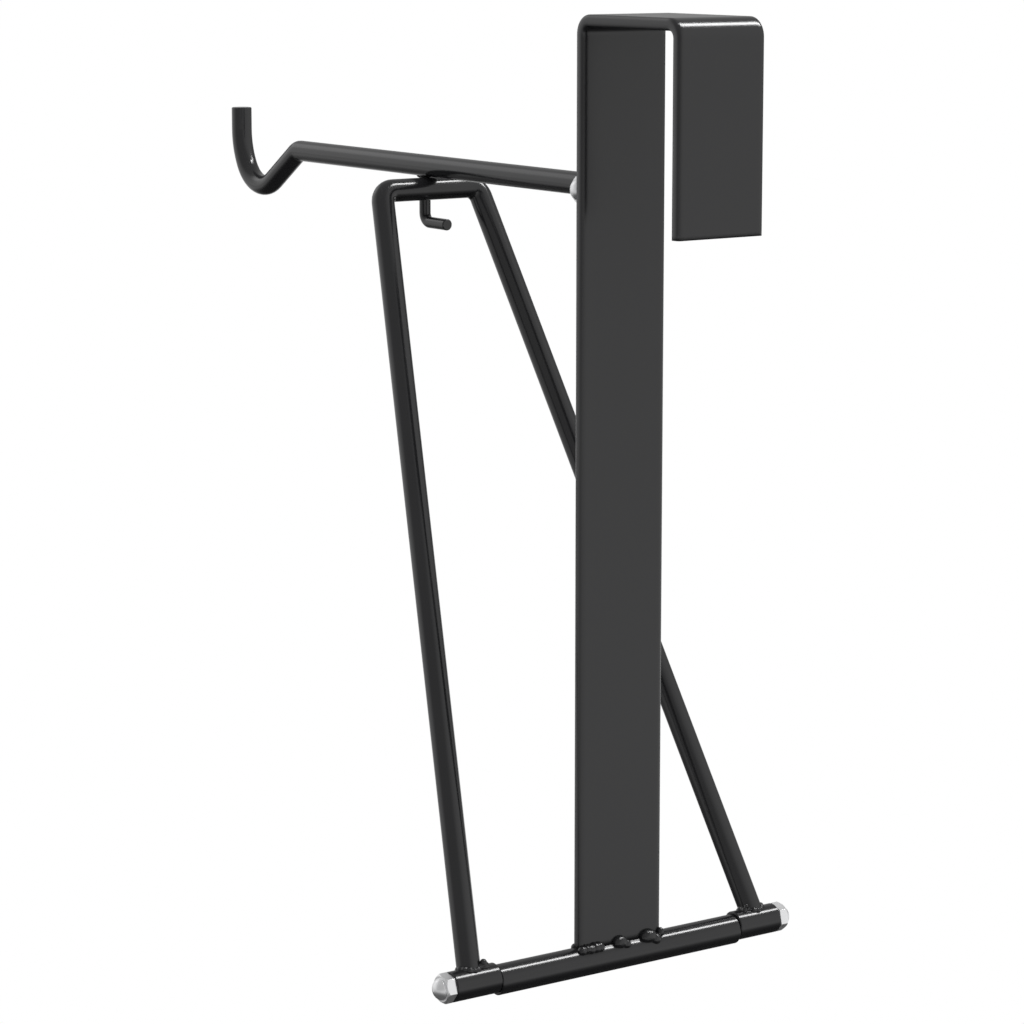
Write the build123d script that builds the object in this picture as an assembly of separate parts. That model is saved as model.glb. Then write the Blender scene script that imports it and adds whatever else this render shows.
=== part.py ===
from build123d import *
import os
from math import cos, pi, radians, sin, tan

os.makedirs("parts", exist_ok=True)

# Over-the-door rack that holds a bicycle by its wheel or frame.
# A flat bar hooks over the top of a door. A round arm is hinged to its front and
# is held level by a U-shaped prop frame, which is hinged to a tube at the foot of
# the flat bar. A small latch rod under the arm keeps the frame's crossbar in place.
#
# Frame: +Z up, -Y away from the door towards the bicycle, X along the hinge axes.
# Origin: middle of the underside of the bridge, where the rack rests on the door.
# Millimetres and degrees.

# ---- driving dimensions --------------------------------------------------------
# flat bar
bar_width = 50.0
bar_thick = 6.0
bar_edge_radius = 1.8
door_gap = 70.8             # clear space for the door between the two legs
bend_inside = 3.5           # inside radius of the two bends
short_leg = 96.2            # length of the leg behind the door

# round stock
rod_dia = 12.0              # prop frame
arm_dia = 11.5
latch_dia = 6.0
tube_dia = 15.0             # cross tube and sleeves
eye_dia = 14.0              # eye at the root of the arm
tube_bore = 11.0
pin_dia = 8.0               # axle and pivot bolt
end_chamfer = 0.8           # broken edge on pins
tip_chamfer = 0.4           # broken edge on sawn rod and tube ends

# cross tube and axle
tube_length = 147.0
tube_drop = 464.0           # tube axis below the bridge's underside
cope_depth = 0.8            # how far the bar's foot is hollowed over the tube
axle_play = 0.1             # clearance at the top of the loose axle
sleeve_length = 26.0
side_gap = 0.3              # between parts that turn against each other

# prop frame
frame_lean = 24.85          # degrees from upright
foot_offset = 1.4           # leg axis outside the middle of its sleeve
head_x = 29.8               # leg axis at the crossbar
frame_bend = 7.5            # centre-line radius at the crossbar's corners

# arm
arm_drop = 78.2             # arm axis below the bridge's underside
pivot_stand_off = 10.5      # arm pivot in front of the flat bar
pivot_below = 1.0           # arm pivot below the arm's axis
rest_gap = 0.3              # arm above crossbar
arm_reach = 361.5           # pivot to the axis of the upturned tip
tip_rise = 21.2             # cut end of the tip above the arm's axis
tip_straight = 12.4         # straight length of the tip
tip_bend = 38.9             # long easy bend below the tip
tip_turn = 31.6
valley_bend = 22.1          # the seat of the hook
slope = 32.7                # rise from the valley to the arm
knee_bend = 8.7             # tight bend between slope and arm

# latch rod
latch_x = -2.9              # welded a little to one side of the arm's centre
latch_gap = 0.4             # latch upright in front of the crossbar
latch_space = 9.4           # between the crossbar and the latch's foot
latch_reach = 22.0          # foot length from the upright's axis
latch_bend = 5.0

# pivot clevis
ear_thick = 3.0
ear_inside = 14.0           # between the ears
ear_radius = 7.4
web_thick = 3.0
fold_radius = 2.4           # outside of the clevis's folds

# M8 fasteners
nut_flats = 13.0
nut_hex = 5.5               # height of the hexagonal part
nut_shoulder = 1.4          # turned shoulder above the hexagon's flats
nut_total = 9.5             # low cap nut
nut_dome = 10.6             # diameter of the dome
nut_crown = 3.2             # height of the rounded crown
near_turn = 21.0            # how each hexagon happens to stand
far_turn = 46.0
pivot_turn = 21.0
head_height = 5.3
skirt_height = 0.5          # round bearing face under each hexagon
skirt_inset = 0.2
corner_cut = 1.1            # height taken off the hexagon's corners

# weld beads
bead_size = 1.9
drop_size = 3.4             # round drops where the torch paused
drop_out = 1.2              # how far a drop's centre stands out from the bar's face
bead_thin = 1.4             # bead on the arm's eye
bead_latch = 1.8            # bead on the latch rod

# ---- derived positions ---------------------------------------------------------
rod_r = rod_dia / 2
arm_r = arm_dia / 2
long_leg = tube_drop - tube_dia / 2 + cope_depth
latch_r = latch_dia / 2
tube_r = tube_dia / 2
eye_r = eye_dia / 2
pin_r = pin_dia / 2
bar_front = -door_gap / 2 - bar_thick       # front face of the long leg
tube_y = -door_gap / 2 - bar_thick / 2      # tube stands under the bar's middle
axle_lift = (tube_bore - pin_dia) / 2 - axle_play
axle_z = -tube_drop + axle_lift
sleeve_in = tube_length / 2 + side_gap      # inner end of each sleeve
sleeve_out = sleeve_in + sleeve_length
foot_x = sleeve_in + sleeve_length / 2 + foot_offset
pivot_y = bar_front - pivot_stand_off
arm_z = -arm_drop
pivot_z = arm_z - pivot_below
tip_y = pivot_y - arm_reach
tip_top = arm_z + tip_rise
crossbar_z = arm_z - arm_r - rest_gap - rod_r
frame_height = (crossbar_z - axle_z) / cos(radians(frame_lean))
crossbar_y = tube_y - frame_height * sin(radians(frame_lean))
latch_y = crossbar_y - rod_r - latch_gap - latch_r
latch_axis_z = crossbar_z - rod_r - latch_space - latch_r


# ---- helpers -------------------------------------------------------------------
def x_cylinder(radius, x0, x1, y, z):
    """Cylinder along X between two stations."""
    return Pos((x0 + x1) / 2, y, z) * Rot(0, 90, 0) * Cylinder(radius, abs(x1 - x0))


def weld_run(x0, x1, y, z, radius):
    """Straight weld bead along X between two stations, tapered at both ends."""
    body = x_cylinder(radius, x0, x1, y, z)
    return chamfer(body.edges().filter_by(GeomType.CIRCLE), radius * 0.55)


def weld_saddle(post, post_r, base, base_r, base_half, size):
    """Weld bead round the foot of a rod (post) that stands on another rod (base).

    Both are planes whose z axis is the rod's axis. The bead is where the two rods,
    each grown by the bead's size, overlap outside both.
    """
    reach = 3 * base_r
    grown_post = post * Cylinder(post_r + size, reach, align=(Align.CENTER, Align.CENTER, Align.MIN))
    grown_base = base * Cylinder(base_r + size, 2 * base_half)
    bead = grown_post & grown_base
    bead = bead - base * Cylinder(base_r, 4 * reach)
    bead = bead - post * Cylinder(post_r, 4 * reach)
    return only_one(bead)


def only_one(shape):
    """The largest solid, after a cut that may leave crumbs."""
    return max(shape.solids(), key=lambda s: s.volume)


def hexagon(flats, height):
    """Hexagonal prism with its corners turned off at the top, standing on z = 0."""
    across = flats / cos(pi / 6)
    prism = extrude(RegularPolygon(flats / 2, 6, major_radius=False), height)
    cone = Pos(0, 0, height / 2) * Cylinder(across / 2, height)
    cone = chamfer(cone.edges().group_by(Axis.Z)[-1], corner_cut)
    skirt = Cylinder(flats / 2 - skirt_inset, skirt_height, align=(Align.CENTER, Align.CENTER, Align.MIN))
    body = (prism & cone) & Pos(0, 0, skirt_height) * Box(
        across * 2, across * 2, height - skirt_height, align=(Align.CENTER, Align.CENTER, Align.MIN))
    return body + skirt


def cap_nut(turn):
    """Low cap nut standing on z = 0, bored for the pin: hexagon, neck and crown."""
    dome_r = nut_dome / 2
    crown_r = (dome_r ** 2 + nut_crown ** 2) / (2 * nut_crown)
    neck = Pos(0, 0, nut_hex - nut_shoulder) * Cylinder(
        dome_r, nut_total - nut_hex + nut_shoulder, align=(Align.CENTER, Align.CENTER, Align.MIN))
    crown = Pos(0, 0, nut_total - crown_r) * Sphere(crown_r)
    below = Pos(0, 0, nut_total - nut_crown) * Cylinder(
        dome_r * 2, nut_total, align=(Align.CENTER, Align.CENTER, Align.MAX))
    body = hexagon(nut_flats, nut_hex) + (neck & (crown + below))
    bore = Cylinder(pin_r, nut_total - nut_crown, align=(Align.CENTER, Align.CENTER, Align.MIN))
    return Rot(0, 0, turn) * (body - bore)


def on_x(shape, x, y, z, side):
    """Stand a fastener that points along +Z on a face that looks along +X or -X."""
    return Pos(x, y, z) * Rot(0, 90 * side, 0) * shape


def save(node, shape):
    """Write one named piece."""
    shape.label = node
    export_step(shape, os.path.join("parts", node + ".step"))


# ---- flat bar that hooks over the door -----------------------------------------
def make_strap():
    half = door_gap / 2
    with BuildPart() as bar:
        with BuildSketch(Plane.YZ.offset(-bar_width / 2)):
            with BuildLine():
                Polyline(
                    (-half - bar_thick, -long_leg), (-half - bar_thick, bar_thick),
                    (half + bar_thick, bar_thick), (half + bar_thick, -short_leg),
                    (half, -short_leg), (half, 0), (-half, 0), (-half, -long_leg),
                    close=True)
            make_face()
            # in the sketch, Y is height
            outer = [v for v in vertices() if v.Y > bar_thick / 2]
            fillet(outer, bend_inside + bar_thick)
            inner = [v for v in vertices() if abs(v.Y) < 0.01]
            fillet(inner, bend_inside)
        extrude(amount=bar_width)
        # the drawn bar has soft edges along both sides
        sides = [e for e in bar.edges() if abs(abs(e.center().X) - bar_width / 2) < 0.01
                 and e.center().Z > -long_leg + 1 and not (e.center().Z < -short_leg + 1 and e.center().Y > 0)]
        fillet(sides, bar_edge_radius)
    # the foot of the long leg is coped to sit on the tube
    return bar.part - x_cylinder(tube_r, -bar_width, bar_width, tube_y, -tube_drop)


strap = make_strap()

# ---- tube across the foot ------------------------------------------------------
cross_tube = x_cylinder(tube_r, -tube_length / 2, tube_length / 2, tube_y, -tube_drop)
cross_tube = chamfer(cross_tube.edges().filter_by(GeomType.CIRCLE), tip_chamfer)
cross_tube = cross_tube - x_cylinder(tube_bore / 2, -tube_length, tube_length, tube_y, -tube_drop)

# Weld along both sides of the joint. In front it runs the full width; on the door's
# side it is a short run at one end and a few round drops.
solid_tube = x_cylinder(tube_r, -tube_length, tube_length, tube_y, -tube_drop)
weld_z = -tube_drop + tube_r - bead_size / 2
half_thick = bar_thick / 2
bar_end = bar_width / 2
front_run = weld_run(-bar_end, bar_end, tube_y - half_thick, weld_z, bead_size)
back_run = weld_run(bar_end / 2, bar_end, tube_y + half_thick, weld_z, bead_size)
weld_pieces = [front_run, back_run]
for x, size in ((0.0, drop_size), (-bar_end * 0.72, drop_size), (-bar_end, drop_size * 0.7)):
    drop_y = tube_y + half_thick + drop_out * size / drop_size
    weld_pieces.append(weld_run(x - size, x + size, drop_y, weld_z, size))
strap_weld = Compound([only_one((w - solid_tube) - strap) for w in weld_pieces])

# ---- clevis on the bar's front -------------------------------------------------
web_front = bar_front - web_thick
ear_out = ear_inside / 2 + ear_thick
web = Pos(0, bar_front - web_thick / 2, pivot_z) * Box(2 * ear_out, web_thick, 2 * ear_radius)
clevis = web
for side in (1, -1):
    mid = side * (ear_inside + ear_thick) / 2
    plate = Pos(mid, (web_front + pivot_y) / 2, pivot_z) * Box(
        ear_thick, web_front - pivot_y, 2 * ear_radius)
    nose = x_cylinder(ear_radius, mid - ear_thick / 2, mid + ear_thick / 2, pivot_y, pivot_z)
    clevis = clevis + plate + nose
fold_edges = [e for e in clevis.edges().filter_by(Axis.Z)
              if abs(e.center().Y - bar_front) < 0.01 and abs(abs(e.center().X) - ear_out) < 0.01]
clevis = fillet(fold_edges, fold_radius)
pivot_bracket = clevis - x_cylinder(pin_r, -2 * ear_out, 2 * ear_out, pivot_y, pivot_z)

bracket_weld = Compound([
    only_one(weld_run(-ear_out + bead_size, ear_out - bead_size, bar_front, pivot_z + top * ear_radius, bead_size)
             - clevis - strap)
    for top in (1, -1)])

# ---- pivot bolt and cap nut ----------------------------------------------------
bolt_end = ear_out + nut_hex
pivot_bolt = x_cylinder(pin_r, -ear_out, bolt_end, pivot_y, pivot_z)
pivot_bolt = chamfer(pivot_bolt.edges().group_by(Axis.X)[-1], end_chamfer)
pivot_bolt = pivot_bolt + on_x(Rot(0, 0, pivot_turn) * hexagon(nut_flats, head_height),
                               -ear_out, pivot_y, pivot_z, -1)
pivot_nut = on_x(cap_nut(pivot_turn), ear_out, pivot_y, pivot_z, 1)

# ---- arm -----------------------------------------------------------------------
eye_half = ear_inside / 2 - side_gap
arm_eye = x_cylinder(eye_r, -eye_half, eye_half, pivot_y, pivot_z)
arm_eye = chamfer(arm_eye.edges().filter_by(GeomType.CIRCLE), tip_chamfer)
arm_eye = arm_eye - x_cylinder(pin_r + axle_play, -eye_half * 2, eye_half * 2, pivot_y, pivot_z)

with BuildPart() as arm:
    with BuildLine(Plane.YZ) as arm_path:
        tip = Line((tip_y, tip_top), (tip_y, tip_top - tip_straight))
        easy = JernArc(start=tip @ 1, tangent=tip % 1, radius=tip_bend, arc_size=tip_turn)
        seat = JernArc(start=easy @ 1, tangent=easy % 1, radius=valley_bend,
                       arc_size=90 - tip_turn + slope)
        foot = seat @ 1
        rise = arm_z - knee_bend * (1 - cos(radians(slope))) - foot.Z
        run = rise / tan(radians(slope))
        ramp = Line((foot.Y, foot.Z), (foot.Y + run, foot.Z + rise))
        knee = JernArc(start=ramp @ 1, tangent=ramp % 1, radius=knee_bend, arc_size=-slope)
        level = Line(((knee @ 1).Y, arm_z), (pivot_y, arm_z))
    with BuildSketch(Plane(origin=(0, tip_y, tip_top), z_dir=(0, 0, -1))):
        Circle(arm_r)
    sweep(path=arm_path.wires()[0])
arm_rod = arm.part
tip_edge = arm_rod.edges().filter_by(GeomType.CIRCLE).group_by(Axis.Z)[-1]
arm_rod = chamfer(tip_edge, tip_chamfer)
eye_space = x_cylinder(eye_r, -eye_dia, eye_dia, pivot_y, pivot_z)
behind = Pos(0, pivot_y + eye_dia, arm_z) * Box(4 * eye_dia, 2 * eye_dia, 4 * eye_dia)
arm_rod = only_one(arm_rod - eye_space - behind)

# bead where the rod meets the eye
eye_axis = Plane(origin=(0, pivot_y, pivot_z), x_dir=(0, 1, 0), z_dir=(1, 0, 0))
arm_axis = Plane(origin=(0, pivot_y, arm_z), x_dir=(1, 0, 0), z_dir=(0, -1, 0))
arm_eye_weld = weld_saddle(arm_axis, arm_r, eye_axis, eye_r, eye_half, bead_thin)

# ---- latch rod under the arm ---------------------------------------------------
with BuildPart() as latch:
    with BuildLine(Plane.YZ.offset(latch_x)) as latch_path:
        FilletPolyline((latch_y, arm_z), (latch_y, latch_axis_z),
                       (latch_y + latch_reach, latch_axis_z), radius=latch_bend)
    with BuildSketch(Plane(origin=(latch_x, latch_y, arm_z), z_dir=(0, 0, -1))):
        Circle(latch_r)
    sweep(path=latch_path.wires()[0])
latch_rod = latch.part
foot_edge = latch_rod.edges().filter_by(GeomType.CIRCLE).group_by(Axis.Y)[-1]
latch_rod = chamfer(foot_edge, tip_chamfer)
arm_space = Pos(0, latch_y, arm_z) * Rot(90, 0, 0) * Cylinder(arm_r, 2 * latch_reach)
above = Pos(0, latch_y, arm_z + arm_dia) * Box(2 * arm_dia, 2 * arm_dia, 2 * arm_dia)
latch_rod = only_one(latch_rod - arm_space - above)

latch_post = Plane(origin=(latch_x, latch_y, arm_z), x_dir=(1, 0, 0), z_dir=(0, 0, -1))
latch_base = Plane(origin=(0, latch_y, arm_z), x_dir=(1, 0, 0), z_dir=(0, -1, 0))
latch_weld = weld_saddle(latch_post, latch_r, latch_base, arm_r, arm_dia, bead_latch)
keep_out = x_cylinder(rod_r + latch_gap, -head_x, head_x, crossbar_y, crossbar_z)
latch_weld = only_one(latch_weld - keep_out)

# ---- prop frame ----------------------------------------------------------------
# Drawn in its own leaning plane: local x along the hinge axis, local y up the lean.
lean = radians(frame_lean)
frame_plane = Plane(origin=(0, tube_y, axle_z), x_dir=(1, 0, 0), z_dir=(0, -cos(lean), -sin(lean)))
with BuildPart() as frame:
    with BuildLine(frame_plane) as frame_path:
        FilletPolyline((foot_x, 0), (head_x, frame_height), (-head_x, frame_height),
                       (-foot_x, 0), radius=frame_bend)
    wire = frame_path.wires()[0]
    with BuildSketch(Plane(origin=wire @ 0, z_dir=wire % 0)):
        Circle(rod_r)
    sweep(path=wire)
sleeve_space = x_cylinder(tube_r, -sleeve_out * 2, sleeve_out * 2, tube_y, axle_z)
below = Pos(0, tube_y, axle_z - tube_dia) * Box(4 * foot_x, 8 * tube_dia, 2 * tube_dia)
frame_rod = only_one(frame.part - sleeve_space - below)


def make_sleeve(side):
    inner, outer = side * sleeve_in, side * sleeve_out
    body = x_cylinder(tube_r, inner, outer, tube_y, axle_z)
    body = chamfer(body.edges().filter_by(GeomType.CIRCLE), tip_chamfer)
    return body - x_cylinder(pin_r, 0, side * 2 * sleeve_out, tube_y, axle_z)


def make_leg_weld(side):
    """Bead round the foot of one leg, on its sleeve."""
    foot = Vector(side * foot_x, tube_y, axle_z)
    head = Vector(side * head_x, crossbar_y, crossbar_z)
    leg = Plane(origin=foot, z_dir=(head - foot).normalized())
    sleeve = Plane(origin=foot, z_dir=(1, 0, 0))
    return weld_saddle(leg, rod_r, sleeve, tube_r, sleeve_length, bead_size)


# ---- axle and its cap nuts -----------------------------------------------------
axle_end = sleeve_out + nut_hex
axle_rod = x_cylinder(pin_r, -axle_end, axle_end, tube_y, axle_z)
axle_rod = chamfer(axle_rod.edges().filter_by(GeomType.CIRCLE), end_chamfer)

# ---- write every piece ---------------------------------------------------------
save("strap", strap)
save("cross_tube", cross_tube)
save("strap_weld", strap_weld)
save("pivot_bracket", pivot_bracket)
save("bracket_weld", bracket_weld)
save("pivot_bolt", pivot_bolt)
save("pivot_nut", pivot_nut)
save("arm_rod", arm_rod)
save("arm_eye", arm_eye)
save("arm_eye_weld", arm_eye_weld)
save("latch_rod", latch_rod)
save("latch_weld", latch_weld)
save("frame_rod", frame_rod)
for side, name in ((1, "near"), (-1, "far")):
    save("sleeve_" + name, make_sleeve(side))
save("leg_welds", Compound([make_leg_weld(side) for side in (1, -1)]))
save("axle_nuts", Compound([on_x(cap_nut(turn), side * sleeve_out, tube_y, axle_z, side)
                            for side, turn in ((1, near_turn), (-1, far_turn))]))
save("axle_rod", axle_rod)

print("crossbar at y %.2f z %.2f, frame height %.2f" % (crossbar_y, crossbar_z, frame_height))
print("latch y %.2f, pivot y %.2f z %.2f, axle z %.2f" % (latch_y, pivot_y, pivot_z, axle_z))
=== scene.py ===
# %% [markdown]
# # A rack that hooks over a door and holds a bicycle
# The shapes of this rack were drawn in a CAD program and packed as a model with one
# mesh for each piece. This script loads that model, looks at it with a camera, lights
# it, and gives every piece the finish that the real one has. Welds, which a CAD
# program draws as plain beads, are modelled here again with their ripples.

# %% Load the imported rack
import bpy
import bmesh
from math import cos, sin, radians, pi, sqrt
from mathutils import Vector, Matrix
from random import Random


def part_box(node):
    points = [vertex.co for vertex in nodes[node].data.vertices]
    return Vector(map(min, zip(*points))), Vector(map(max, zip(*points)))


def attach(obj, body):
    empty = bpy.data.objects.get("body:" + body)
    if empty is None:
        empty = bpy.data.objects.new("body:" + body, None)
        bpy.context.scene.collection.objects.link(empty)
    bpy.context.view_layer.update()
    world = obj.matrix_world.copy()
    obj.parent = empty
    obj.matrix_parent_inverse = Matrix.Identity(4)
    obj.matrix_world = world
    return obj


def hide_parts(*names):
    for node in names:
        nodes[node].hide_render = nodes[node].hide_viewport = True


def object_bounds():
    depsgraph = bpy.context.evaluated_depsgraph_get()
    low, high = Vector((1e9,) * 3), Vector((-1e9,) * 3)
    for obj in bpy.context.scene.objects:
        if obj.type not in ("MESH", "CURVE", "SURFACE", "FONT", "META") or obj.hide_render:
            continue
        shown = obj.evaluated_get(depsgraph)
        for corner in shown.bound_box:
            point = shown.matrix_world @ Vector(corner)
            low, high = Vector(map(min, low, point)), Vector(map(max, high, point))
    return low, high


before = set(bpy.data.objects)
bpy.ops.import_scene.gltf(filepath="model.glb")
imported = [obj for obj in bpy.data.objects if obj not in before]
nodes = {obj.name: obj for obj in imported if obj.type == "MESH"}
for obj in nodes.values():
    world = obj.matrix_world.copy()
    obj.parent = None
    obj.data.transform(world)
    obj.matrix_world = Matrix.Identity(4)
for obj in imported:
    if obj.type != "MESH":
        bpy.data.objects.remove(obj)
cad_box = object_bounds()
MM = 0.001                       # lengths are in metres, so this is a millimetre
print("pieces:", ", ".join(sorted(nodes)))
print("size in mm:", [round((b - a) / MM, 1) for a, b in zip(*cad_box)])

# %% [markdown]
# ## The camera
# The rack is seen from behind the door, a little above its top edge, with the short
# leg in front. A long lens keeps the legs nearly parallel. A camera in Blender looks
# along its own -Z axis, so the view direction is turned into a rotation with
# `to_track_quat`. Lamps shine along the same axis, so the helper is made for both.
# The small vertical shift frames the rack in the middle.

# %% Place the camera
VIEW_YAW = radians(-146.07)      # compass direction of the view, from +Y towards +X
VIEW_PITCH = radians(-9.0)       # a little downwards
EYE = Vector((0.9187, 1.2327, 0.0513))
SENSOR_WIDTH = 36.0              # this and the lens are in millimetres
LENS = 113.7
SHIFT_UP = -0.08                 # as a share of the picture's width
NEAREST, FARTHEST = 0.05, 50.0


def add_object(name, data):
    """Put a camera, lamp or mesh into the scene."""
    made = bpy.data.objects.new(name, data)
    bpy.context.scene.collection.objects.link(made)
    return made


def point_along(made, direction):
    """Turn a camera or lamp to a direction."""
    made.rotation_mode = "QUATERNION"
    made.rotation_quaternion = direction.to_track_quat("-Z", "Y")


camera_data = bpy.data.cameras.new("camera")
camera_data.sensor_width = SENSOR_WIDTH
camera_data.lens = LENS
camera_data.shift_y = SHIFT_UP
camera_data.clip_start, camera_data.clip_end = NEAREST, FARTHEST
camera = add_object("camera", camera_data)
camera.location = EYE
look = Vector((sin(VIEW_YAW) * cos(VIEW_PITCH),
               cos(VIEW_YAW) * cos(VIEW_PITCH),
               sin(VIEW_PITCH)))
point_along(camera, look)
bpy.context.scene.camera = camera
bpy.context.scene.view_settings.view_transform = "Standard"
print("camera looks along", [round(v, 3) for v in look])

# %% [markdown]
# ## Writing shader maths as plain sums
# A material in Blender is a graph of nodes. Joining Math nodes one by one is hard to
# read, so this small class wraps a socket. A sum or product of two wrapped sockets
# adds the Math node by itself.

# %% A wrapper for shader sockets
class Wire:
    """One output socket of a node, which can be used in sums."""

    def __init__(self, tree, socket):
        self.tree, self.socket = tree, socket

    def math(self, operation, *others):
        """Add a Math node that works on this wire and on others."""
        made = self.tree.nodes.new("ShaderNodeMath")
        made.operation = operation
        for slot, value in zip(made.inputs, (self,) + others):
            join(self.tree, value, slot)
        return Wire(self.tree, made.outputs[0])

    def __add__(self, other):
        return self.math("ADD", other)

    def __radd__(self, other):
        return self.math("ADD", other)

    def __sub__(self, other):
        return self.math("SUBTRACT", other)

    def __rsub__(self, other):
        return self * -1.0 + other

    def __mul__(self, other):
        return self.math("MULTIPLY", other)

    def __rmul__(self, other):
        return self.math("MULTIPLY", other)

    def clamp(self):
        return self.math("MAXIMUM", 0.0).math("MINIMUM", 1.0)


def join(tree, value, slot):
    """Feed a socket with a wire or with a plain value."""
    if isinstance(value, Wire):
        tree.links.new(value.socket, slot)
    else:
        slot.default_value = value


print("sockets can be added and multiplied")

# %% [markdown]
# Every other kind of node comes from one method, `node`. It takes the node's type, its
# settings and the values or wires for its sockets. The four helpers below it stand for
# the nodes that this script needs again and again.

# %% A node tree and its usual nodes
class Graph:
    """The node tree of a material or of the world."""

    def __init__(self, owner):
        owner.use_nodes = True
        self.owner, self.tree = owner, owner.node_tree
        self.tree.nodes.clear()

    def node(self, kind, settings=None, inputs=None, output=0):
        """Add a node, set it up, feed its sockets and give one of its outputs."""
        made = self.tree.nodes.new(kind)
        for key, value in (settings or {}).items():
            setattr(made, key, value)
        for key, value in (inputs or {}).items():
            join(self.tree, value, made.inputs[key])
        return Wire(self.tree, made.outputs[output])

    def surface(self, shader):
        """Make a shader the look of the material or of the world."""
        kind = "World" if isinstance(self.owner, bpy.types.World) else "Material"
        out = self.tree.nodes.new("ShaderNodeOutput" + kind)
        self.tree.links.new(shader.socket, out.inputs["Surface"])
        return self.owner


def ray_is(graph, kind):
    """1 for one kind of ray, such as Camera or Glossy, and 0 for the others."""
    return graph.node("ShaderNodeLightPath", output="Is " + kind + " Ray")


def along(graph, place, direction):
    """How far a place lies along a direction."""
    return graph.node("ShaderNodeVectorMath", {"operation": "DOT_PRODUCT"}, {
        0: place, 1: direction}, output=1)


def fade(graph, value, start, end, low=0.0, high=1.0):
    """Go softly from low to high while the value goes from start to end."""
    return graph.node("ShaderNodeMapRange", {"interpolation_type": "SMOOTHSTEP"}, {
        "Value": value, "From Min": start, "From Max": end, "To Min": low, "To Max": high})


def noise(graph, place, per_metre, detail):
    """A cloudy pattern between 0 and 1."""
    return graph.node("ShaderNodeTexNoise", inputs={
        "Vector": place, "Scale": per_metre, "Detail": detail})


print("node trees are ready")

# %% [markdown]
# ## The floor
# The rack hangs from the top edge of a door, so the real floor is about two metres
# below it. Here it is a wide pale plane that far down.

# %% Make the floor
DOOR_HEIGHT = 2.0
FLOOR_REACH = 15.0               # from its middle to each edge


def add_shape(name, shape):
    """Turn a finished bmesh into an object."""
    data = bpy.data.meshes.new(name)
    shape.to_mesh(data)
    shape.free()
    return add_object(name, data)


floor_shape = bmesh.new()
bmesh.ops.create_grid(floor_shape, x_segments=1, y_segments=1, size=FLOOR_REACH)
bmesh.ops.translate(floor_shape, verts=floor_shape.verts, vec=(0, 0, -DOOR_HEIGHT))
floor = add_shape("floor", floor_shape)
print("floor at z =", -DOOR_HEIGHT, "m")

# %% [markdown]
# ### What the floor looks like
# The camera sees the floor as plain white. In reflections its far parts are white as
# well, but nearer the rack its glow is darkened with a painted shade, which gives round
# pieces a dark underside. That painted shade fades with the distance from a middle at the
# height of the rack, and the floor straight below it is already two metres away. In
# reflections the glow is also painted a little brighter towards one side. All other light
# meets an ordinary matt floor.

# %% The floor's finish
# painted shade: the floor's glow in reflections is darkened round this middle, down to the deepest value
PAINTED_SHADE_MIDDLE = (0.3, -0.45, 0.0)
DARK_TO, PALE_FROM = 2.55, 5.9   # distances from the middle
PAINTED_SHADE_DEEPEST = 0.04
# painted light: in reflections the floor's glow is made brighter towards this side
PALE_SIDE = (-0.6, 0.8, 0.0)     # the floor is a little brighter towards this side
SIDE_REACH = 4.0
DIM_SIDE = 0.7
MATT_GREY = (0.8, 0.8, 0.8, 1)
WHITE = (1, 1, 1, 1)

paint = Graph(bpy.data.materials.new("floor_white"))
mirror_ray = ray_is(paint, "Glossy")
seen = (ray_is(paint, "Camera") + mirror_ray + ray_is(paint, "Transmission")).clamp()
spot = paint.node("ShaderNodeTexCoord", output="Object")
distance = paint.node("ShaderNodeVectorMath", {"operation": "DISTANCE"}, {
    0: spot, 1: PAINTED_SHADE_MIDDLE}, output=1)
# painted shade near the rack, in the floor's glow as seen in reflections
painted_shade_near_rack = fade(paint, distance, DARK_TO, PALE_FROM, low=PAINTED_SHADE_DEEPEST)
# painted light towards one side, in the floor's glow as seen in reflections
painted_light_to_side = fade(paint, along(paint, spot, PALE_SIDE), -SIDE_REACH, SIDE_REACH, low=DIM_SIDE)
glow = mirror_ray * painted_shade_near_rack * painted_light_to_side + (1.0 - mirror_ray)
matt = paint.node("ShaderNodeBsdfDiffuse", inputs={"Color": MATT_GREY})
bright = paint.node("ShaderNodeEmission", inputs={"Color": WHITE, "Strength": glow})
floor.data.materials.append(paint.surface(
    paint.node("ShaderNodeMixShader", inputs={0: seen, 1: matt, 2: bright})))
print("finished the floor with", floor.data.materials[0].name)

# %% [markdown]
# ## The room
# The rack is black and glossy, so most of what is seen on it is the reflection of the
# room. The walls are a pale grey with soft panels in front of them. A panel is full
# inside a cone round its middle and fades out towards the edge of a wider cone, and
# both cones are given by the cosine of their angle. The camera itself sees white, and
# everything else is lit by a plain soft light.

# %% Paint the room
PALE_WALLS = 0.42
SOFT_LIGHT = 0.6
PANELS = (
    # middle, cosine at the edge, cosine where it is full, brightness
    ((-0.6, 0.8, -0.05), 0.35, 0.95, 0.55),      # mirrored by the flat bar's broad faces
    ((0.45, -0.85, 0.0), 0.6, 0.95, 0.5),        # mirrored by the side of the arm
    ((0.23, -0.82, 0.53), 0.95, 0.99, 0.42),     # a thin stripe higher up on the arm
    ((-0.97, -0.15, -0.1), 0.55, 0.95, -0.15),   # a darker wall, mirrored by the legs
)

room = Graph(bpy.data.worlds.new("room"))
bpy.context.scene.world = room.owner
toward = room.node("ShaderNodeTexCoord", output="Generated")
mirrored = PALE_WALLS
for middle, edge, full, brightness in PANELS:
    cosine = along(room, toward, tuple(Vector(middle).normalized()))
    mirrored = mirrored + fade(room, cosine, edge, full) * brightness

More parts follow.
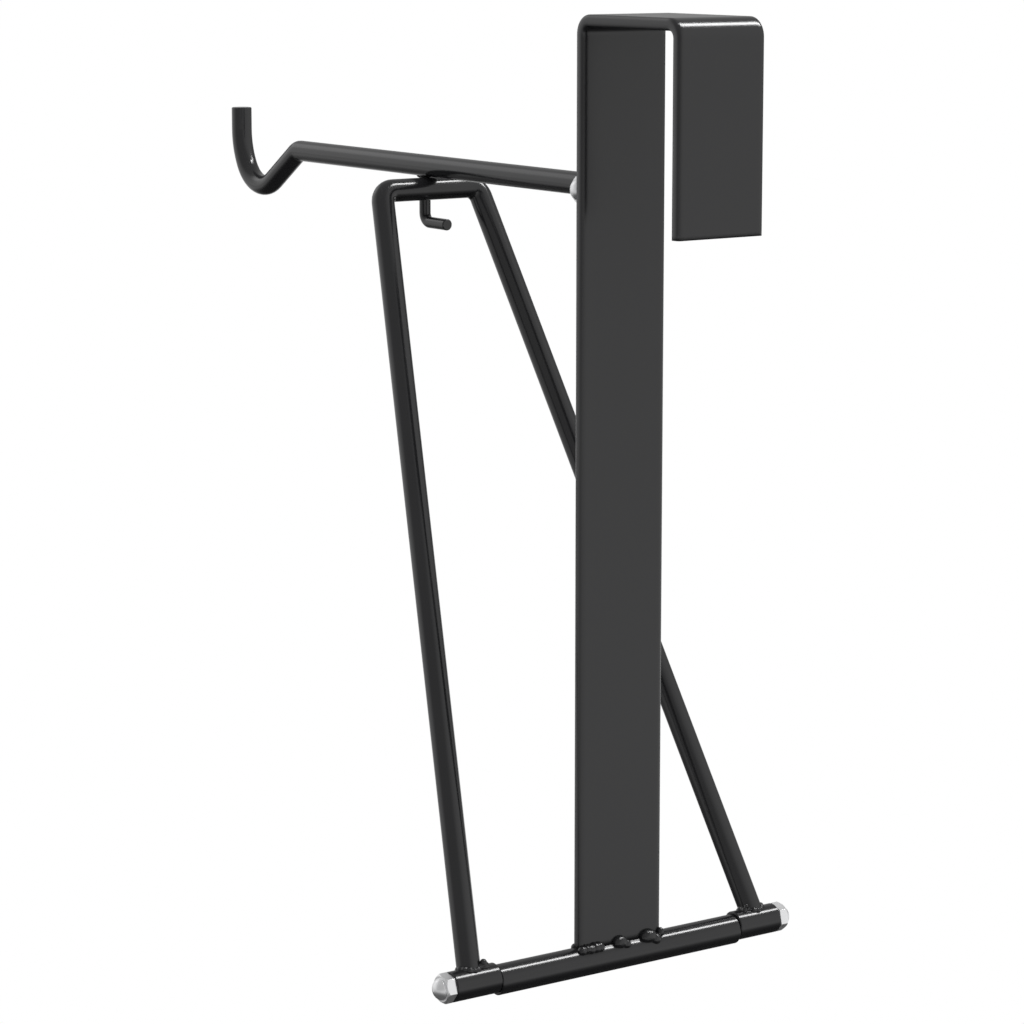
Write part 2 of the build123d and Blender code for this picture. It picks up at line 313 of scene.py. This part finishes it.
from_camera = ray_is(room, "Camera")
from_mirror = ray_is(room, "Glossy")
from_glass = ray_is(room, "Transmission")
plain = (1.0 - (from_camera + from_mirror + from_glass).clamp()) * SOFT_LIGHT
strength = from_camera.math("MAXIMUM", from_glass) + from_mirror * mirrored + plain
room.surface(room.node("ShaderNodeBackground", inputs={"Color": WHITE, "Strength": strength}))
print("painted the room with", len(PANELS), "panels")

# %% [markdown]
# ## The lamps
# A broad lamp gives the soft shadowless light that falls on everything. It is left out
# of reflections, where it would show as a white patch. A narrow lamp overhead is only
# seen in reflections, and draws the thin white lines along the tops of the tubes.

# %% Hang the lamps
BROAD_PLACE = Vector((0.3, 0.2, 1.6))
BROAD_SIZE = (1.6, 1.2)
BROAD_POWER = 20.0
LINE_PLACE = Vector((-1.17, 0.205, 1.2))
LINE_SIZE = (1.3, 0.32)
LINE_POWER = 28.0
STRAIGHT_DOWN = Vector((0, 0, -1))


def add_lamp(name, place, direction, size, power):
    """A flat lamp that shines along a direction."""
    data = bpy.data.lights.new(name, "AREA")
    data.shape = "RECTANGLE"
    data.size, data.size_y = size
    data.energy = power
    made = add_object(name, data)
    made.location = place
    point_along(made, direction)
    return made


rack_middle = (cad_box[0] + cad_box[1]) / 2
broad_lamp = add_lamp("lamp_broad", BROAD_PLACE, rack_middle - BROAD_PLACE, BROAD_SIZE, BROAD_POWER)
broad_lamp.visible_glossy = False
line_lamp = add_lamp("lamp_line", LINE_PLACE, STRAIGHT_DOWN, LINE_SIZE, LINE_POWER)
line_lamp.visible_diffuse = False
print("the broad lamp aims at", [round(v, 3) for v in rack_middle])

# %% [markdown]
# ## Black powder coat
# The steel is covered with a baked black powder. It is nearly black, has a low
# sheen, and under a close look its skin is pebbled like the peel of an orange. The
# pebbles are a noise pattern about a millimetre wide that only bends the light (a Bump
# node). A broad, faint noise changes colour and sheen from place to place. A Bevel node
# shades edges as if they were rounded. The flat bar is rolled with round edges and gets
# the widest rounding, and the rough welds get extra lumps.

# %% The black finish
COAT_DARK = (0.010, 0.010, 0.011, 1)
COAT_PALE = (0.014, 0.014, 0.015, 1)
CLOUDS, PEBBLES, LUMPS = 22.0, 900.0, 800.0      # how many of each go into a metre
SHEEN_CHANGE = 0.06
PEBBLE_HEIGHT = 0.1 * MM
EDGE_SAMPLES = 4                 # how finely a Bevel node looks round itself
REFRACTION = 1.5


def powder_coat(name, sheen=0.15, peel=0.02, lumps=0.0, rounding=0.4 * MM, samples=EDGE_SAMPLES):
    """A black coat. Peel is the strength of the bumps, and lumps are added to them."""
    coat = Graph(bpy.data.materials.new(name))
    place = coat.node("ShaderNodeTexCoord", output="Object")
    clouds = noise(coat, place, CLOUDS, detail=3.0)
    height = noise(coat, place, PEBBLES, detail=2.0)
    if lumps:
        height = height + noise(coat, place, LUMPS, detail=2.0) * lumps
    colour = coat.node("ShaderNodeMix", {"data_type": "RGBA"}, {
        "Factor": clouds, "A": COAT_DARK, "B": COAT_PALE}, output=2)
    edges = coat.node("ShaderNodeBevel", {"samples": samples}, {"Radius": rounding})
    skin = coat.node("ShaderNodeBump", inputs={
        "Strength": peel, "Distance": PEBBLE_HEIGHT, "Height": height, "Normal": edges})
    return coat.surface(coat.node("ShaderNodeBsdfPrincipled", inputs={
        "Base Color": colour, "Roughness": sheen + clouds * SHEEN_CHANGE,
        "Normal": skin, "IOR": REFRACTION}))


black_coat = powder_coat("black_coat")
bar_coat = powder_coat("black_coat_on_bar", rounding=3.5 * MM, samples=2 * EDGE_SAMPLES)
weld_coat = powder_coat("black_coat_on_welds", sheen=0.18, peel=0.4, lumps=6.0)
print("made", black_coat.name, bar_coat.name, weld_coat.name)

# %% [markdown]
# ## Bright zinc
# Nuts, the bolt and the axle are zinc plated. Plating is metal, but its skin of fine
# crystals scatters some of the light as paint does, so the shader is not quite fully
# metallic. Its colour is a pale, slightly blue grey, and its roughness varies in small
# soft patches where the plating is thicker.

# %% The zinc finish
ZINC_BLUE = (0.78, 0.785, 0.795, 1)
ZINC_PALE = (0.88, 0.88, 0.885, 1)
PATCHES = 160.0                  # how many go into a metre
ZINC_METAL = 0.85
ZINC_ROUGH, ROUGH_CHANGE = 0.28, 0.14
GRAIN_STRENGTH, GRAIN_HEIGHT = 0.03, 0.2 * MM
ZINC_ROUNDING = 0.3 * MM

zinc = Graph(bpy.data.materials.new("bright_zinc"))
zinc_place = zinc.node("ShaderNodeTexCoord", output="Object")
patches = noise(zinc, zinc_place, PATCHES, detail=3.0)
zinc_colour = zinc.node("ShaderNodeMix", {"data_type": "RGBA"}, {
    "Factor": patches, "A": ZINC_BLUE, "B": ZINC_PALE}, output=2)
zinc_edges = zinc.node("ShaderNodeBevel", {"samples": EDGE_SAMPLES}, {"Radius": ZINC_ROUNDING})
grain = zinc.node("ShaderNodeBump", inputs={
    "Strength": GRAIN_STRENGTH, "Distance": GRAIN_HEIGHT, "Height": patches, "Normal": zinc_edges})
bright_zinc = zinc.surface(zinc.node("ShaderNodeBsdfPrincipled", inputs={
    "Base Color": zinc_colour, "Metallic": ZINC_METAL,
    "Roughness": ZINC_ROUGH + patches * ROUGH_CHANGE, "Normal": grain}))
print("made", bright_zinc.name)

# %% [markdown]
# ## Every piece gets its finish
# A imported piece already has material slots, so only the material in each slot is
# changed. The name of a piece says which finish it needs.

# %% Give every piece its finish
ZINC_PIECES = ("pivot_bolt", "pivot_nut", "axle_rod", "axle_nuts")


def finish_of(name):
    """The material that a piece gets."""
    if name in ZINC_PIECES:
        return bright_zinc
    if name == "strap":
        return bar_coat
    return weld_coat if "weld" in name else black_coat


for name, piece in nodes.items():
    for slot in piece.material_slots:
        slot.material = finish_of(name)
print("finished", len(nodes), "pieces")

# %% [markdown]
# ## Weld beads
# A welder lays metal down drop by drop, so a bead is a row of overlapping drops, some
# larger than others. Each drop here is a small ball squeezed to the wanted shape. In a
# row the drops follow a straight seam, a little uneven in size and place.

# %% Drops and rows of drops
ROW_SIZES = (0.86, 1.12)         # smallest and largest share of the wanted radius
ROW_SHIFT = 0.12                 # how far a drop may stray, as a share of its radius
dice = Random(7)


def drop(bead, place, radii):
    """One drop of metal."""
    shape = Matrix.Translation(place) @ Matrix.Diagonal((*radii, 1.0))
    bmesh.ops.create_icosphere(bead, subdivisions=3, radius=1.0, matrix=shape)


def row(bead, start, end, radius, pitch):
    """Drops from start to end."""
    start, end = Vector(start), Vector(end)
    count = max(2, round((end - start).length / pitch) + 1)
    for step in range(count):
        shift = Vector((dice.uniform(-1, 1), dice.uniform(-1, 1), dice.uniform(-1, 1)))
        size = radius * dice.uniform(*ROW_SIZES)
        drop(bead, start.lerp(end, step / (count - 1)) + shift * radius * ROW_SHIFT, (size,) * 3)


print("drops and rows can be made")

# %% [markdown]
# Where a round rod stands on another, the seam is a saddle: it rises and falls round
# the rod's foot. For each drop the script goes round the foot of the upper rod, the
# post, and finds where a line along the post comes out of the lower one, the base.
# That is where the line's distance from the base's axis equals the base's radius,
# which is a quadratic equation in the length along the post.

# %% Rings of drops
RING_SIZES = (0.88, 1.15)
RING_SHIFT = 0.15                # as a share of the way to the next drop
RING_SINK = 0.15                 # how far a drop's middle lies inside the post, by its radius


def ring(bead, foot, post_axis, post_radius, base_axis, base_radius, radius, count):
    """Drops round the foot of a post that stands on a rod."""
    foot = Vector(foot)
    post_axis, base_axis = Vector(post_axis).normalized(), Vector(base_axis).normalized()
    across = post_axis.cross(base_axis).normalized()
    beside = across.cross(post_axis).normalized()
    # only what stands square to the base's axis counts for the distance from it
    rise = post_axis - base_axis * post_axis.dot(base_axis)
    a = rise.dot(rise)
    for step in range(count):
        turn = 2 * pi * (step + dice.uniform(-RING_SHIFT, RING_SHIFT)) / count
        spot = (across * cos(turn) + beside * sin(turn)) * (post_radius - radius * RING_SINK)
        side = spot - base_axis * spot.dot(base_axis)
        b, c = 2 * side.dot(rise), side.dot(side) - base_radius ** 2
        height = (-b + sqrt(max(b * b - 4 * a * c, 0.0))) / (2 * a)
        size = radius * dice.uniform(*RING_SIZES)
        drop(bead, foot + spot + post_axis * height, (size,) * 3)


print("rings can be made")

# %% [markdown]
# The drops of a bead still cut into each other. A Remesh modifier lays one closed skin
# over all of them, and a Smooth modifier lets it flow like metal that was molten. The
# finished bead rides on the body that it belongs to, and stands for the plain CAD bead,
# which is then not shown.

# %% Melt the drops into one bead
SKIN_STEP = 0.3 * MM
FLOW_FACTOR, FLOW_ROUNDS = 0.5, 5


def place_bead(bead, name, body, stands_for):
    """Melt a bead's drops and hand the bead to its body."""
    made = add_shape(name, bead)
    made.data.materials.append(weld_coat)
    skin = made.modifiers.new("one_skin", "REMESH")
    skin.mode, skin.voxel_size, skin.use_smooth_shade = "VOXEL", SKIN_STEP, True
    flow = made.modifiers.new("flow", "SMOOTH")
    flow.factor, flow.iterations = FLOW_FACTOR, FLOW_ROUNDS
    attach(made, body)
    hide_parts(stands_for)
    print(name, "has", len(made.data.polygons), "faces before it is melted")


print("the skin's step is", SKIN_STEP / MM, "mm")

# %% [markdown]
# ### The flat bar on its tube
# The bar stands on the tube. In front of it the bead runs the whole width. On the
# door's side it is a short row at one end and a few separate large drops.

# %% Find the seams between the bar and the cross tube
def middle_of(node):
    """The middle of a piece's box."""
    low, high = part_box(node)
    return (low + high) / 2


HALF_BAR = 3 * MM                # half the bar's thickness
BAR_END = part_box("strap")[1].x   # half its width
tube_low, tube_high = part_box("cross_tube")
tube_middle = middle_of("cross_tube")
TUBE_R = (tube_high.z - tube_low.z) / 2
seam_z = tube_middle.z + sqrt(TUBE_R ** 2 - HALF_BAR ** 2)
seam_front = tube_middle.y - HALF_BAR
seam_back = tube_middle.y + HALF_BAR
print("the seams lie at z =", round(seam_z / MM, 2), "mm")

# %% Beads between the bar and the cross tube
FRONT_INSET = 1.5 * MM           # from each end of the bar
ROW_START = 13.5 * MM            # from the middle of the bar
ROW_INSET = 1.0 * MM             # from its end
ROW_OUT = 0.9 * MM               # how far the row stands off the seam
LARGE_DROPS = (
    # along the bar, radii, out from the seam and up from it, in millimetres
    (0.5, (4.2, 3.0, 3.4), 0.8, 0.2),
    (-2.6, (2.6, 2.4, 2.4), 1.6, -1.0),
    (-17.0, (5.0, 3.2, 3.6), 1.0, 0.3),
    (-20.6, (3.0, 2.8, 3.0), 2.0, -1.4),
    (-24.6, (2.0, 2.2, 2.6), 0.4, 1.0),
)

bar_bead = bmesh.new()
row(bar_bead, (-BAR_END + FRONT_INSET, seam_front, seam_z), (BAR_END - FRONT_INSET, seam_front, seam_z),
    radius=2.1 * MM, pitch=2.3 * MM)
row(bar_bead, (ROW_START, seam_back + ROW_OUT, seam_z), (BAR_END - ROW_INSET, seam_back + ROW_OUT, seam_z),
    radius=2.5 * MM, pitch=2.9 * MM)
for x, radii, out, up in LARGE_DROPS:
    drop(bar_bead, (x * MM, seam_back + out * MM, seam_z + up * MM), [r * MM for r in radii])
place_bead(bar_bead, "bead_bar_to_tube", "door_hook", "strap_weld")

# %% [markdown]
# ### The clevis on the bar
# The clevis is the folded bracket that the arm turns in. It is welded to the bar along
# its upper and its lower edge.

# %% Beads above and below the clevis
CLEVIS_INSET = 2.5 * MM          # from each side of the clevis
clevis_low, clevis_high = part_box("pivot_bracket")
clevis_bead = bmesh.new()
for z in (clevis_low.z, clevis_high.z):
    row(clevis_bead, (clevis_low.x + CLEVIS_INSET, clevis_high.y, z),
        (clevis_high.x - CLEVIS_INSET, clevis_high.y, z), radius=1.7 * MM, pitch=2.0 * MM)
place_bead(clevis_bead, "bead_clevis", "door_hook", "bracket_weld")

# %% [markdown]
# ### The prop frame on its sleeves
# Each leg ends on a sleeve. The bead goes round the leg's foot, with two larger drops
# on the side towards the flat bar, which are bigger on one leg than on the other.

# %% Beads round the feet of the legs
FRAME_LEAN = radians(24.85)      # away from the flat bar
FRAME_HEIGHT = 410.34 * MM       # along the lean
FOOT_X, HEAD_X = 88.2 * MM, 29.8 * MM
FRAME_R = 6 * MM
DROP_SIZES = ((1, 1.0), (-1, 0.65))      # side of the rack, share of the full radius
LEG_DROPS = (
    # towards the bar, back to the door, up, and the full radius, in millimetres
    (7.6, 1.0, 7.4, 2.6),
    (6.8, 1.4, 9.6, 1.8),
)

axle_middle = middle_of("axle_rod")
leg_bead = bmesh.new()
for side, share in DROP_SIZES:
    leg = Vector((side * (HEAD_X - FOOT_X),
                  -FRAME_HEIGHT * sin(FRAME_LEAN),
                  FRAME_HEIGHT * cos(FRAME_LEAN)))
    foot = Vector((side * FOOT_X, axle_middle.y, axle_middle.z))
    ring(leg_bead, foot, leg, FRAME_R, (1, 0, 0), TUBE_R, radius=1.6 * MM, count=15)
    for inward, back, up, radius in LEG_DROPS:
        drop(leg_bead, foot + Vector((-side * inward, back, up)) * MM, [radius * share * MM] * 3)
place_bead(leg_bead, "bead_legs", "prop_frame", "leg_welds")

# %% [markdown]
# ### The arm's eye and the latch rod
# The arm's rod ends on a short eye, which lies across it and turns on the bolt. The
# thin latch rod hangs from the underside of the arm. Both seams are saddles.

# %% Bead between the arm and its eye
ARM_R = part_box("arm_rod")[1].x
eye = middle_of("arm_eye")
eye_low, eye_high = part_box("arm_eye")
EYE_R = (eye_high.z - eye_low.z) / 2
ARM_Z = eye.z + 1.0 * MM         # the arm's axis passes a little above the eye's
eye_bead = bmesh.new()
ring(eye_bead, (0, eye.y, ARM_Z), (0, -1, 0), ARM_R, (1, 0, 0), EYE_R, radius=1.3 * MM, count=12)
place_bead(eye_bead, "bead_eye", "arm", "arm_eye_weld")

# %% Bead between the latch rod and the arm
latch_low, latch_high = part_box("latch_rod")
LATCH_R = (latch_high.x - latch_low.x) / 2
latch_foot = (middle_of("latch_rod").x, latch_low.y + LATCH_R, ARM_Z)
latch_bead = bmesh.new()
ring(latch_bead, latch_foot, (0, 0, -1), LATCH_R, (0, 1, 0), ARM_R, radius=1.6 * MM, count=11)
place_bead(latch_bead, "bead_latch", "arm", "latch_weld")
